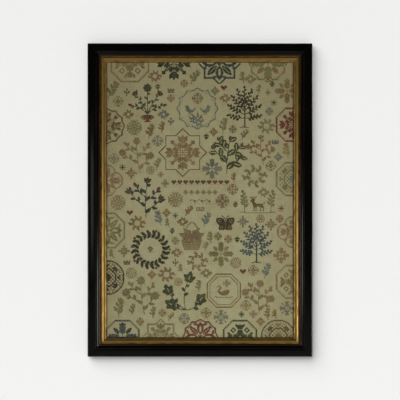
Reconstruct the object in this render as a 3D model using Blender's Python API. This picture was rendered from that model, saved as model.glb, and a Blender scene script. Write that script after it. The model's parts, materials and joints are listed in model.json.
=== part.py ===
"""Framed cross stitch sampler: a black mitred frame, a gilt slip, the linen and its backing board.

The frame hangs upright. Its face looks along -Y, +Z is up, and the world origin lies on the flat
back of the top rail, at its middle, where the frame meets the wall. Units are metres.
"""
from math import asin, atan2, cos, hypot, pi, radians, sin

import bmesh
import bpy
from mathutils import Matrix, Vector

MM = 0.001

# The frame over its outer edges.
FRAME_WIDTH = 472 * MM
FRAME_HEIGHT = 658 * MM
FRAME_DEPTH = 22 * MM

# The black moulding: its face, and the rebate behind its inner lip.
RAIL_WIDTH = 26 * MM
REBATE_WALL = 16 * MM
REBATE_DEPTH = 13 * MM
OUTER_ROUND = 2.2 * MM
FACE_EDGE = 17.4 * MM
FACE_CROWN = 0.25 * MM
QUIRK = 0.7 * MM
COVE_START = 18.1 * MM
COVE_END = 23.2 * MM
COVE_DROP = 3.8 * MM
COVE_HOLLOW = 0.8 * MM
SIGHT_BEAD = 0.55 * MM

# The gilt slip that shows inside the moulding.
SLIP_SHOWS = 13 * MM
SLIP_TOP = 12.7 * MM
SLIP_BEAD_START = 2.6 * MM
SLIP_BEAD_WIDTH = 5.2 * MM
SLIP_BEAD_HEIGHT = 2.3 * MM
SLIP_SLOPE_RUN = 4.0 * MM
SLIP_SLOPE_DROP = 3.4 * MM
SLIP_SLOPE_HOLLOW = 0.35 * MM
SLIP_LIP_ROUND = 1.2 * MM

# The cloth and the board behind it.
LINEN_THICKNESS = 1.5 * MM
BOARD_THICKNESS = 3 * MM
BOARD_EDGE_ROUND = 0.4 * MM

# What keeps the pieces apart.
GAP = 0.3 * MM
REBATE_PLAY = 0.6 * MM

# The line on which a smooth face turns into an edge.
SHARP_ANGLE = radians(32)
ARC_STEPS = 10
ROUND_BULGE = 1 - cos(pi / 4)

# Heights above the wall, from the face of the slip down to the board.
SLIP_BACK = 6.6 * MM
LINEN_FRONT = SLIP_BACK - GAP
LINEN_BACK = LINEN_FRONT - LINEN_THICKNESS
BOARD_FRONT = LINEN_BACK - GAP
BOARD_BACK = BOARD_FRONT - BOARD_THICKNESS

# The hanging point is in the middle of the top rail's flat back.
TOP_EDGE = REBATE_WALL / 2
CENTRE = Vector((0, 0, TOP_EDGE - FRAME_HEIGHT / 2))

# Each side of the frame: how far it is turned from the top one about Y, and how long it is.
SIDES = {
    "top": {"turn": 0, "length": FRAME_WIDTH, "reach": FRAME_HEIGHT / 2},
    "right": {"turn": 90, "length": FRAME_HEIGHT, "reach": FRAME_WIDTH / 2},
    "bottom": {"turn": 180, "length": FRAME_WIDTH, "reach": FRAME_HEIGHT / 2},
    "left": {"turn": 270, "length": FRAME_HEIGHT, "reach": FRAME_WIDTH / 2},
}

# A moulding is drawn with x inwards and y to the front, which are -Z and -Y on the top side.
DRAWN_TO_TOP = Matrix(((0, 0, -1), (0, -1, 0), (-1, 0, 0))).to_4x4()


def clear_scene():
    """Remove every object, so that the script can be run again in an open file."""
    for old in list(bpy.data.objects):
        bpy.data.objects.remove(old)


def finish(name, colour, roughness, metallic=0.0, coat=0.0):
    """A plain Principled material."""
    material = bpy.data.materials.new(name)
    material.use_nodes = True
    shader = material.node_tree.nodes["Principled BSDF"]
    shader.inputs["Base Color"].default_value = (*colour, 1)
    shader.inputs["Roughness"].default_value = roughness
    shader.inputs["Metallic"].default_value = metallic
    shader.inputs["Coat Weight"].default_value = coat
    material.diffuse_color = (*colour, 1)
    return material


def arc_between(start, end, bulge):
    """Points on the arc from start to end that rises by bulge to the left of the chord."""
    chord = hypot(end[0] - start[0], end[1] - start[1])
    heading = atan2(end[1] - start[1], end[0] - start[0])
    radius = (chord * chord / 4 + bulge * bulge) / (2 * abs(bulge))
    half_angle = asin(min(1, chord / 2 / radius))
    side = 1 if bulge > 0 else -1
    points = []
    for step in range(ARC_STEPS + 1):
        angle = half_angle * (2 * step / ARC_STEPS - 1)
        along = chord / 2 + radius * sin(angle)
        across = side * (radius * cos(angle) - radius + abs(bulge))
        x = start[0] + along * cos(heading) - across * sin(heading)
        y = start[1] + along * sin(heading) + across * cos(heading)
        points.append((x, y))
    return points


def round_corner(start, end):
    """A quarter circle from start to end, bulging to the left of the chord."""
    return arc_between(start, end, hypot(end[0] - start[0], end[1] - start[1]) / 2 ** 0.5 * ROUND_BULGE)


def joined(*stretches):
    """One outline from several stretches, leaving out points that repeat the one before."""
    outline = []
    for point in (point for stretch in stretches for point in stretch):
        if not outline or hypot(point[0] - outline[-1][0], point[1] - outline[-1][1]) > GAP / 30:
            outline.append(point)
    return outline


def rail_outline():
    """The black moulding's section: round outer edge, crowned face, quirk, cove and sight bead."""
    cove_top = FRAME_DEPTH - QUIRK
    cove_foot = cove_top - COVE_DROP
    return joined(
        [(0, 0)],
        round_corner((0, FRAME_DEPTH - OUTER_ROUND), (OUTER_ROUND, FRAME_DEPTH)),
        arc_between((OUTER_ROUND, FRAME_DEPTH), (FACE_EDGE, FRAME_DEPTH), FACE_CROWN),
        round_corner((FACE_EDGE, FRAME_DEPTH), (COVE_START, cove_top)),
        arc_between((COVE_START, cove_top), (COVE_END, cove_foot), -COVE_HOLLOW),
        arc_between((COVE_END, cove_foot), (RAIL_WIDTH, cove_foot - 2 * SIGHT_BEAD), SIGHT_BEAD),
        [(RAIL_WIDTH, REBATE_DEPTH), (REBATE_WALL, REBATE_DEPTH), (REBATE_WALL, 0)],
    )


def slip_outline():
    """The gilt slip's section: a flat flange, a round bead, a hollow slope and a thin inner lip."""
    bead_start = RAIL_WIDTH + SLIP_BEAD_START
    bead_end = bead_start + SLIP_BEAD_WIDTH
    slope_foot = SLIP_TOP - SLIP_SLOPE_DROP
    slope_end = bead_end + SLIP_SLOPE_RUN
    sight_edge = RAIL_WIDTH + SLIP_SHOWS
    flange_edge = REBATE_WALL + REBATE_PLAY
    return joined(
        [(flange_edge, SLIP_BACK), (flange_edge, SLIP_TOP)],
        arc_between((bead_start, SLIP_TOP), (bead_end, SLIP_TOP), SLIP_BEAD_HEIGHT),
        arc_between((bead_end, SLIP_TOP), (slope_end, slope_foot), -SLIP_SLOPE_HOLLOW),
        round_corner((slope_end, slope_foot), (sight_edge, slope_foot - SLIP_LIP_ROUND)),
        [(sight_edge, SLIP_BACK)],
    )


def side_length_of_stick(side):
    """A stick's outer length, short of the full side by what opens its two mitres to GAP."""
    return SIDES[side]["length"] - GAP * 2 ** 0.5


def moulding_stick(name, outline, side, material, collection, parent):
    """A length of moulding: its section extruded, then both ends cut to a mitre."""
    half_length = side_length_of_stick(side) / 2
    drawing = bpy.data.curves.new(name + "_section", "CURVE")
    drawing.dimensions = "2D"
    drawing.fill_mode = "BOTH"
    drawing.extrude = half_length
    spline = drawing.splines.new("POLY")
    spline.points.add(len(outline) - 1)
    for point, (x, y) in zip(spline.points, outline):
        point.co = (x, y, 0, 1)
    spline.use_cyclic_u = True
    drawn = bpy.data.objects.new(name + "_drawn", drawing)
    collection.objects.link(drawn)

    evaluated = drawn.evaluated_get(bpy.context.evaluated_depsgraph_get())
    mesh = bpy.data.meshes.new_from_object(evaluated)
    bpy.data.objects.remove(drawn)
    mesh.name = name
    mitre_ends(mesh, half_length)
    mesh.materials.clear()
    mesh.materials.append(material)

    stick = bpy.data.objects.new(name, mesh)
    collection.objects.link(stick)
    turn = Matrix.Rotation(radians(SIDES[side]["turn"]), 4, "Y")
    outer_edge = CENTRE + turn @ Vector((0, 0, SIDES[side]["reach"]))
    stick.matrix_world = Matrix.Translation(outer_edge) @ turn @ DRAWN_TO_TOP
    stick.parent = parent
    return stick


def mitre_ends(mesh, half_length):
    """Weld the extrusion's caps and slide them back by the distance in from the outer edge."""
    shape = bmesh.new()
    shape.from_mesh(mesh)
    bmesh.ops.remove_doubles(shape, verts=shape.verts, dist=GAP / 100)
    for vert in shape.verts:
        end = 1 if vert.co.z > 0 else -1
        vert.co.z = end * (half_length - vert.co.x)
    bmesh.ops.recalc_face_normals(shape, faces=shape.faces)
    shape.to_mesh(mesh)
    shape.free()
    mesh.shade_smooth()
    mesh.set_sharp_from_angle(angle=SHARP_ANGLE)


def flat_panel(name, back, front, edge_round, material, collection, parent):
    """A flat sheet that fills the rebate, between two heights above the wall."""
    width = FRAME_WIDTH - 2 * (REBATE_WALL + REBATE_PLAY)
    height = FRAME_HEIGHT - 2 * (REBATE_WALL + REBATE_PLAY)
    mesh = bpy.data.meshes.new(name)
    shape = bmesh.new()
    bmesh.ops.create_cube(shape, size=1)
    bmesh.ops.scale(shape, vec=(width, front - back, height), verts=shape.verts)
    if edge_round:
        bmesh.ops.bevel(shape, geom=shape.edges, offset=edge_round, segments=2, affect="EDGES")
    shape.to_mesh(mesh)
    shape.free()
    mesh.materials.append(material)
    panel = bpy.data.objects.new(name, mesh)
    collection.objects.link(panel)
    panel.location = CENTRE + Vector((0, -(front + back) / 2, 0))
    panel.parent = parent
    return panel


def build():
    clear_scene()
    collection = bpy.data.collections.new("framed_cross_stitch_sampler")
    bpy.context.scene.collection.children.link(collection)
    hanging_point = bpy.data.objects.new("hanging_point", None)
    collection.objects.link(hanging_point)

    black_lacquer = finish("black_lacquer", (0.012, 0.012, 0.013), roughness=0.3, coat=0.4)
    old_gilt = finish("old_gilt", (0.42, 0.29, 0.1), roughness=0.38, metallic=0.75)
    linen_cloth = finish("linen_cloth", (0.27, 0.24, 0.14), roughness=0.95)
    backing_card = finish("backing_card", (0.3, 0.24, 0.17), roughness=0.9)

    for side in SIDES:
        moulding_stick("rail_" + side, rail_outline(), side, black_lacquer, collection, hanging_point)
        moulding_stick("slip_" + side, slip_outline(), side, old_gilt, collection, hanging_point)
    flat_panel("linen", LINEN_BACK, LINEN_FRONT, 0, linen_cloth, collection, hanging_point)
    flat_panel("backing_board", BOARD_BACK, BOARD_FRONT, BOARD_EDGE_ROUND, backing_card, collection,
               hanging_point)
    bpy.context.view_layer.update()


build()
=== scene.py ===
# %% [markdown]
# # A framed cross stitch sampler
#
# A sampler is a practice piece: its maker counts the threads of a plain linen and works small
# crosses over them, motif by motif. This one is stretched flat on a board and hangs in a narrow
# black moulding with a gilt slip inside it. The lesson goes the way the object is put together:
# frame, slip, board, linen, then the drawing of the motifs and the stitches themselves.

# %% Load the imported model
import json
import math
import random

import bpy
import numpy as np
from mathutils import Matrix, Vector

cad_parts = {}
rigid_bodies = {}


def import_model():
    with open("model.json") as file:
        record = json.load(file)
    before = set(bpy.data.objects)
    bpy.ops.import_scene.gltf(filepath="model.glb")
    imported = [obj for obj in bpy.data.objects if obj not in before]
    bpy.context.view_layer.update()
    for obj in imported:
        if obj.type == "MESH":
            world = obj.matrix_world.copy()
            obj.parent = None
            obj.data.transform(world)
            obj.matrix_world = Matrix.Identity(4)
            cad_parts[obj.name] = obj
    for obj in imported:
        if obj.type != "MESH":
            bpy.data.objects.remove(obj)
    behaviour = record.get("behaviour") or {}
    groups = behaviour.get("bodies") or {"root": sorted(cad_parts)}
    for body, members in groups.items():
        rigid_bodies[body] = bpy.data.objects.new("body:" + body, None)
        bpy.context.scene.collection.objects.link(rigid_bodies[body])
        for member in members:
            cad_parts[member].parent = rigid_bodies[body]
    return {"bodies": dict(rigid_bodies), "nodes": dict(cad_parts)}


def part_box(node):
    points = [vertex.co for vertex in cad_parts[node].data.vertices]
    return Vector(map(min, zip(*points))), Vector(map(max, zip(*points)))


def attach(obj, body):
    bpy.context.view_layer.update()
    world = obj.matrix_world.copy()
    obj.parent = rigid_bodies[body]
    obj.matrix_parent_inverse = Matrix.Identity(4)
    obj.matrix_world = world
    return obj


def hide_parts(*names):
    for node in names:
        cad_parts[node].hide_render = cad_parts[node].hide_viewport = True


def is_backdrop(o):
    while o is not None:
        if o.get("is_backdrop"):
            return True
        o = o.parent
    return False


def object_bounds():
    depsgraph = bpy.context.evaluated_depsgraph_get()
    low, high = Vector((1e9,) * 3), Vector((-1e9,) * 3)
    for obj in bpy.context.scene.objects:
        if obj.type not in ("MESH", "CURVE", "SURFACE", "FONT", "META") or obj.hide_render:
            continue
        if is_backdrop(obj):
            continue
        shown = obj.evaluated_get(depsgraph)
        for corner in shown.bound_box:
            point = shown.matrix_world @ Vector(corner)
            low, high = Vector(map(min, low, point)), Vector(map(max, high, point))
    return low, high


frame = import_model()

cad_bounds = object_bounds()
root_body = next(iter(frame["bodies"]))
print("nodes in the packed model:", ", ".join(sorted(frame["nodes"])))

# %% [markdown]
# ## Measuring the frame
#
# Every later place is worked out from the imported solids: the outside of the rails, the opening
# that the slip leaves, and the height of the cloth. The face looks along -Y, so "out" is -Y.

# %% Measure the frame
MM = 0.001
SIDES = ("top", "right", "bottom", "left")

outer_low = Vector(cad_bounds[0])
outer_high = Vector(cad_bounds[1])
middle_x = (outer_low.x + outer_high.x) / 2
middle_z = (outer_low.z + outer_high.z) / 2
sight_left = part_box("slip_left")[1].x
sight_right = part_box("slip_right")[0].x
sight_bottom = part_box("slip_bottom")[1].z
sight_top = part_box("slip_top")[0].z
linen_low, linen_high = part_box("linen")
board_low, board_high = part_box("backing_board")
print("outside, mm:", [round(size / MM, 1) for size in outer_high - outer_low])
sight_size = (sight_right - sight_left, sight_top - sight_bottom)
print("sight size, mm:", [round(size / MM, 1) for size in sight_size])

# %% [markdown]
# ## A short way to write materials
#
# A Blender material is a graph of nodes. Written out in full, each one takes four or five lines,
# so a small class keeps the graph and offers the few nodes that this object needs. Every
# finish below is then a handful of lines that read like a recipe.

# %% A small recipe book for node materials
def from_screen(red, green, blue):
    """A colour picked on screen, 0 to 255, as the linear light that a shader wants."""
    share = [value / 255 for value in (red, green, blue)]
    linear = [c / 12.92 if c <= 0.04045 else ((c + 0.055) / 1.055) ** 2.4 for c in share]
    return (*linear, 1)


class Finish:
    """A material in the making: a Principled shader and the nodes that feed it."""

    def __init__(self, name, roughness=0.5, metallic=0.0, specular=0.5):
        self.material = bpy.data.materials.new(name)
        self.material.use_nodes = True
        self.nodes = self.material.node_tree.nodes
        self.shader = self.nodes["Principled BSDF"]
        self.set("Roughness", roughness)
        self.set("Metallic", metallic)
        self.set("Specular IOR Level", specular)

    def set(self, socket, value):
        """Set one of the shader's own values, or link it to what a node gives."""
        self.feed(self.shader.inputs[socket], value)

    def feed(self, socket, value):
        """Link a node's result to a socket, or write a plain value there."""
        if isinstance(value, bpy.types.NodeSocket):
            self.material.node_tree.links.new(value, socket)
        elif value is not None:
            socket.default_value = value

    def attribute(self, name, output="Vector"):
        """What the mesh keeps on its points under that name."""
        node = self.nodes.new("ShaderNodeAttribute")
        node.attribute_name = name
        return node.outputs[output]

    def place(self):
        """The point's own place on the object, in metres."""
        return self.nodes.new("ShaderNodeTexCoord").outputs["Object"]

    def stretched(self, vector, scale):
        """The same place counted in other units along each axis."""
        node = self.nodes.new("ShaderNodeVectorMath")
        node.operation = "MULTIPLY"
        self.feed(node.inputs[0], vector)
        node.inputs[1].default_value = scale
        return node.outputs[0]

    def noise(self, vector, scale=1.0, detail=3.0, rough=0.5):
        node = self.nodes.new("ShaderNodeTexNoise")
        self.feed(node.inputs["Vector"], vector)
        node.inputs["Scale"].default_value = scale
        node.inputs["Detail"].default_value = detail
        node.inputs["Roughness"].default_value = rough
        return node.outputs["Fac"]

    def math(self, operation, first, second=None):
        node = self.nodes.new("ShaderNodeMath")
        node.operation = operation
        self.feed(node.inputs[0], first)
        self.feed(node.inputs[1], second)
        return node.outputs[0]

    def part(self, vector, axis):
        """One coordinate of a vector."""
        node = self.nodes.new("ShaderNodeSeparateXYZ")
        self.feed(node.inputs[0], vector)
        return node.outputs[axis]

    def span(self, value, low, high, to_low=0.0, to_high=1.0):
        """Spread what lies between low and high over a new range, held at its ends."""
        node = self.nodes.new("ShaderNodeMapRange")
        self.feed(node.inputs["Value"], value)
        node.inputs["From Min"].default_value = low
        node.inputs["From Max"].default_value = high
        node.inputs["To Min"].default_value = to_low
        node.inputs["To Max"].default_value = to_high
        return node.outputs["Result"]

    def mix(self, share, first, second):
        """A colour between two, by share."""
        node = self.nodes.new("ShaderNodeMix")
        node.data_type = "RGBA"
        colour_sockets = [socket for socket in node.inputs if socket.type == "RGBA"]
        self.feed(node.inputs["Factor"], share)
        self.feed(colour_sockets[0], first)
        self.feed(colour_sockets[1], second)
        return next(socket for socket in node.outputs if socket.type == "RGBA")

    def bump(self, height, depth, strength):
        """Bend the light as if the surface rose by depth metres where height is one."""
        node = self.nodes.new("ShaderNodeBump")
        node.inputs["Strength"].default_value = strength
        node.inputs["Distance"].default_value = depth
        self.feed(node.inputs["Height"], height)
        self.set("Normal", node.outputs["Normal"])


print("a screen grey of 128 is", round(from_screen(128, 128, 128)[0], 3), "in linear light")

# %% [markdown]
# ## Lacquer, bare wood and gilt
#
# The outer moulding is wood stained black and rubbed to a soft shine. Its grain runs along each
# stick, so the pattern has to turn with the stick. A vector kept on each point of the mesh,
# named "stick", holds how far along, how far in and how far out the point is, and the noise is
# stretched along its first number. Arrises that a duster rubs show a little brown. The gilt of the
# slip has dulled to umber wherever dust settles. The same umber is also painted as painted shade
# beside the rail and at the slip's inner lip. The back of the wood is left bare.

# %% Black lacquer, bare wood and gilt
def black_lacquer():
    """Black with faint streaks along the stick, and brown where an edge is rubbed."""
    finish = Finish("black_lacquer", specular=0.15)
    stick = finish.attribute("stick")
    streaks = finish.noise(finish.stretched(stick, (9, 700, 700)), detail=4)
    dust = finish.noise(finish.stretched(stick, (900, 900, 900)), detail=2)
    patches = finish.noise(stick, scale=14, detail=2)
    wear = finish.attribute("wear", "Fac")
    rubbed = finish.span(finish.math("MULTIPLY", wear, finish.math("ADD", streaks, patches)), 0.52, 1.15)
    ebony = finish.mix(patches, from_screen(2, 2, 2), from_screen(6, 6, 5))
    finish.set("Base Color", finish.mix(rubbed, ebony, from_screen(58, 36, 20)))
    finish.set("Roughness", finish.span(finish.math("ADD", streaks, patches), 0.6, 1.5, 0.1, 0.19))
    grain = finish.math("ADD", finish.math("MULTIPLY", streaks, 0.8), finish.math("MULTIPLY", dust, 0.2))
    finish.bump(grain, 0.05 * MM, strength=0.25)
    return finish.material


def bare_wood():
    """The back and the rebate, which no one sees: pine gone brown, with black run over its edge."""
    finish = Finish("bare_wood", roughness=0.8, specular=0.3)
    stick = finish.attribute("stick")
    rings = finish.noise(finish.stretched(stick, (5, 260, 260)), detail=5, rough=0.6)
    fibres = finish.noise(finish.stretched(stick, (30, 2400, 2400)), detail=2)
    wood = finish.mix(rings, from_screen(120, 84, 50), from_screen(176, 136, 90))
    wood = finish.mix(finish.span(fibres, 0.45, 0.75, 0, 0.5), wood, from_screen(84, 56, 34))
    edge = finish.math("SUBTRACT", finish.part(stick, 1), finish.math("MULTIPLY", rings, 5 * MM))
    past_the_black = finish.span(edge, -0.8 * MM, -0.4 * MM)
    finish.set("Base Color", finish.mix(past_the_black, from_screen(20, 17, 15), wood))
    finish.bump(fibres, 0.1 * MM, strength=0.5)
    return finish.material


def old_gilt():
    """Gilt that has dulled: bright where it is proud and rubbed, umber with dust in its hollows, and
    umber as painted shade beside the rail and at its inner lip.
    """
    finish = Finish("old_gilt", metallic=0.82, specular=0.4)
    stick = finish.attribute("stick")
    # Painted shade: the slip's mark is dust in its hollows, and also painted shade where the rail
    # overhangs the slip and at the inner lip over the cloth.
    dust_and_shade = finish.attribute("dust_and_shade", "Fac")
    cloud = finish.noise(finish.stretched(stick, (60, 220, 220)), detail=4)
    speck = finish.noise(finish.stretched(stick, (900, 1500, 1500)), detail=2)
    dust_tone_and_shade = finish.math("ADD", dust_and_shade, finish.span(cloud, 0.35, 0.75, -0.25, 0.35))
    gold = finish.mix(cloud, from_screen(172, 141, 77), from_screen(140, 109, 53))
    gold = finish.mix(finish.span(speck, 0.6, 0.8, 0, 0.55), gold, from_screen(96, 56, 26))
    # The umber is dust, and painted shade beside the rail and at the inner lip.
    umber = from_screen(54, 38, 14)
    finish.set("Base Color", finish.mix(finish.span(dust_tone_and_shade, 0.15, 1.0, 0, 0.92), gold, umber))
    finish.set("Roughness", finish.span(dust_tone_and_shade, 0, 1, 0.33, 0.6))
    finish.bump(finish.math("ADD", cloud, finish.math("MULTIPLY", speck, 0.4)), 0.08 * MM, strength=0.5)
    return finish.material


LACQUER = black_lacquer()
WOOD = bare_wood()
GILT = old_gilt()
print("frame finishes:", LACQUER.name, WOOD.name, GILT.name)

# %% [markdown]
# ## Drawing a moulding's section
#
# A frame maker buys a moulding by the metre, cuts four sticks with 45 degree ends and joins them.
# The section is drawn once, as points that go round it. Each point is how far in from the
# frame's outer edge it lies, how far out from the wall, and a mark. On the rail the mark is how
# strongly the point wears. On the slip it is how much dust and painted shade the point takes.
# Round stretches are arcs, worked out from their two ends and their rise.

# %% Sections of the rail and the slip
ARC_STEPS = 14
EVEN = 0.0


def arc(start, end, rise, mark=EVEN, mark_end=None):
    """Points on the arc from start to end that rises to the left of the chord by rise."""
    mark_end = mark if mark_end is None else mark_end
    run, climb = end[0] - start[0], end[1] - start[1]
    chord = math.hypot(run, climb)
    radius = (chord * chord / 4 + rise * rise) / (2 * abs(rise))
    half_angle = math.asin(min(1, chord / 2 / radius))
    points = []
    for step in range(ARC_STEPS + 1):
        share = step / ARC_STEPS
        angle = half_angle * (2 * share - 1)
        along = chord / 2 + radius * math.sin(angle)
        across = math.copysign(radius * math.cos(angle) - radius + abs(rise), rise)
        inward = start[0] + (along * run - across * climb) / chord
        outward = start[1] + (along * climb + across * run) / chord
        points.append((inward, outward, mark + (mark_end - mark) * share))
    return points


def quarter(start, end, mark=EVEN):
    """A rounded corner from start to end."""
    radius = math.hypot(end[0] - start[0], end[1] - start[1]) / math.sqrt(2)
    return arc(start, end, radius * (1 - math.cos(math.pi / 4)), mark)


def without_repeats(points):
    """The outline with each point once, where one stretch ends and the next starts."""
    kept = []
    for point in points:
        if not kept or math.dist(point[:2], kept[-1][:2]) > 0.01:
            kept.append(point)
    return np.array(kept) * (MM, MM, 1)


# The rail, in mm: its width and depth, the rebate, the crowned face, the quirk, cove and sight edge.
RAIL_WIDTH, RAIL_DEPTH = 26, 22
REBATE_WALL, REBATE_DEPTH = 16, 13
OUTER_ROUND = 2.2
FACE_EDGE, COVE_START, COVE_END = 17.4, 18.1, 23.2
QUIRK_FOOT, COVE_FOOT = 21.3, 17.5
SIGHT_DROP = 1.1

rail_section = without_repeats(
    [(0, 0, 0.3), (0, 7, EVEN), (0, 14, EVEN)]
    + quarter((0, RAIL_DEPTH - OUTER_ROUND), (OUTER_ROUND, RAIL_DEPTH), 0.75)
    + arc((OUTER_ROUND, RAIL_DEPTH), (FACE_EDGE, RAIL_DEPTH), 0.25)
    + quarter((FACE_EDGE, RAIL_DEPTH), (COVE_START, QUIRK_FOOT), 0.8)
    + arc((COVE_START, QUIRK_FOOT), (COVE_END, COVE_FOOT), -0.8)
    + arc((COVE_END, COVE_FOOT), (RAIL_WIDTH, COVE_FOOT - SIGHT_DROP), 0.55, 0.95)
    + [(RAIL_WIDTH, REBATE_DEPTH, 0.3), (REBATE_WALL, REBATE_DEPTH, EVEN), (REBATE_WALL, 0, EVEN)]
)

# The slip, in mm: its flange, the bead, the concave slope and the thin lip over the cloth. The
# third number of each slip point is dust in its hollows and painted shade beside the rail and at the lip.
SLIP_FLANGE, SLIP_TOP, SLIP_BACK = 16.6, 12.7, 6.6
BEAD_START, BEAD_END, BEAD_RISE = 28.6, 33.8, 2.3
SLOPE_END, SLOPE_FOOT = 37.8, 9.3
SIGHT_EDGE, LIP_FOOT = 39, 8.1

slip_section = without_repeats(
    [(SLIP_FLANGE, SLIP_BACK, 1), (SLIP_FLANGE, SLIP_TOP, 1), (RAIL_WIDTH, SLIP_TOP, 1)]
    + [(RAIL_WIDTH + 1, SLIP_TOP, 0.75)]
    + arc((BEAD_START, SLIP_TOP), (BEAD_END, SLIP_TOP), BEAD_RISE, 0.25, 0)
    + arc((BEAD_END, SLIP_TOP), (SLOPE_END, SLOPE_FOOT), -0.35, 0.1, 0.6)
    + quarter((SLOPE_END, SLOPE_FOOT), (SIGHT_EDGE, LIP_FOOT), 0.9)
    + [(SIGHT_EDGE, SLIP_BACK, 1)]
)
print("points round the sections:", len(rail_section), len(slip_section))

# %% [markdown]
# ## Cutting the sticks
#
# Blender could run the section along a path with a curve's bevel object, but that makes one
# closed ring. Real rails are four sticks that meet in mitres with a hair line between them, so
# each stick is lofted on its own: the section is repeated at stations along the length, and a
# point's stations are squeezed together by how far in it lies, which cuts both mitres at once.
# Wood and gesso are never dead straight, so a slow ripple of a few hundredths of a millimetre
# goes into the faces and breaks up the reflections.

# %% Loft a mitred stick
MITRE_GAP = 0.3 * MM
STATION_SPACING = 11 * MM
RIPPLE_HEIGHT = 0.05 * MM
SHARP_ARRIS = math.radians(38)


def slow_ripple(along, across, seed):
    """A gentle unevenness between -1 and 1."""
    waves = np.sin(along * 23 + seed) + np.sin(along * 61 + across * 90 + 2.1 * seed)
    return (waves + np.sin(along * 131 - across * 160 + 3.7 * seed)) / 3


def mesh_object(name, points, faces, materials):
    """A new mesh in the scene with these points, faces and materials."""
    mesh = bpy.data.meshes.new(name)
    mesh.from_pydata(points, [], faces)
    for material in materials:
        mesh.materials.append(material)
    made = bpy.data.objects.new(name, mesh)
    bpy.context.scene.collection.objects.link(made)
    return made


def keep_on_points(mesh, name, values, kind="FLOAT"):
    """Store a value for each point, where a material's Attribute node can read it."""
    stored = mesh.attributes.new(name, kind, "POINT")
    field = "vector" if kind == "FLOAT_VECTOR" else "value"
    stored.data.foreach_set(field, np.ascontiguousarray(values, dtype=np.float32).ravel())


def stick(name, section, side, materials, mark, is_bare, seed):
    """One mitred stick of moulding, in place on its side of the frame."""
    number = SIDES.index(side)
    upright = number % 2 == 1
    size = outer_high - outer_low
    length = (size.z if upright else size.x) - MITRE_GAP * math.sqrt(2)
    reach = (size.x if upright else size.z) / 2
    stations = round(length / STATION_SPACING)
    inward, outward, marked = section.T
    shares = np.linspace(-1, 1, stations + 1)[:, None]
    along = shares * (length / 2 - inward)[None, :]
    inward = np.broadcast_to(inward, along.shape)
    outward = np.broadcast_to(outward, along.shape)
    in_front = (outward > REBATE_DEPTH * MM) & (inward > 0)
    on_the_slip = (marked[None, :] < 1) & (inward > RAIL_WIDTH * MM)
    shows = in_front | on_the_slip
    lifted = outward + np.where(shows, RIPPLE_HEIGHT * slow_ripple(along, inward, seed), 0)
    turn = math.radians(90 * number)
    rise = reach - inward
    x = middle_x + -along * math.cos(turn) + rise * math.sin(turn)
    z = middle_z + along * math.sin(turn) + rise * math.cos(turn)
    points = np.stack([x, -lifted, z], axis=-1).reshape(-1, 3)

    ring = len(section)
    faces, bare = [], []
    for station in range(stations):
        for spot in range(ring):
            after = (spot + 1) % ring
            here, there = station * ring, (station + 1) * ring
            faces.append((here + spot, there + spot, there + after, here + after))
            bare.append(is_bare(section[spot], section[after]))
    faces.append(tuple(range(ring)))
    faces.append(tuple(reversed(range(stations * ring, (stations + 1) * ring))))
    bare += [True, True]

    made = mesh_object(name, points, faces, materials)
    keep_on_points(made.data, "stick", np.stack([along + seed, inward, outward], axis=-1), "FLOAT_VECTOR")
    keep_on_points(made.data, mark, np.broadcast_to(marked, along.shape))
    made.data.polygons.foreach_set("material_index", np.array(bare, dtype=np.int32))
    made.data.shade_smooth()
    made.data.set_sharp_from_angle(angle=SHARP_ARRIS)
    return made


def rail_is_bare(first, second):
    """True on the rail's back and in its rebate."""
    inner, front = min(first[0], second[0]), max(first[1], second[1])
    in_rebate = REBATE_WALL * MM <= inner < RAIL_WIDTH * MM and front <= REBATE_DEPTH * MM
    return front == 0 or in_rebate


def slip_is_bare(first, second):
    """True on the slip's underside and its hidden outer edge."""
    return min(first[0], second[0]) == SLIP_FLANGE * MM and min(first[1], second[1]) < SLIP_TOP * MM


RAIL_FINISH, SLIP_FINISH = [LACQUER, WOOD], [GILT, WOOD]
for seed, side in enumerate(SIDES):
    rail = stick("ebonised_rail_" + side, rail_section, side, RAIL_FINISH, "wear", rail_is_bare, seed + 1)
    slip = stick("gilt_slip_" + side, slip_section, side, SLIP_FINISH, "dust_and_shade", slip_is_bare, seed + 6)
    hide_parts("rail_" + side)
    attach(rail, root_body)
    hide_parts("slip_" + side)
    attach(slip, root_body)
    print(side, "rail and slip:", len(rail.data.polygons), "and", len(slip.data.polygons), "faces")

# %% [markdown]
# ## The board
#
# The linen lies on a plain board that fills the rebate and shows only from behind. A board is a
# thin slab with its edges eased, and its back bows by a hair. What makes it look like board is the
# finish, a brown card with long fibres, foxing and a paler patch or two.

# %% Board
BOARD_CELLS = (24, 34)
BOARD_BOW = 0.15 * MM
REACH_TO_LINEN = 0.3 * MM
EASED_EDGE = 0.4 * MM
CLEAR_EDGE = math.radians(60)


def aged_card():
    """Brown card with fibres that run upwards, and small spots of foxing."""
    finish = Finish("backing_card", roughness=0.9, specular=0.2)
    place = finish.place()
    fibres = finish.noise(finish.stretched(place, (900, 1, 190)), detail=4, rough=0.65)
    clouds = finish.noise(place, scale=7, detail=4)
    foxing = finish.span(finish.noise(place, scale=95, detail=3), 0.66, 0.74)
    card = finish.mix(clouds, from_screen(132, 112, 84), from_screen(178, 156, 122))
    card = finish.mix(finish.span(fibres, 0.4, 0.7, 0, 0.4), card, from_screen(104, 84, 60))
    spotted = finish.mix(finish.math("MULTIPLY", foxing, 0.5), card, from_screen(96, 66, 40))
    finish.set("Base Color", spotted)
    finish.bump(fibres, 0.08 * MM, strength=0.6)
    return finish.material


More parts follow.
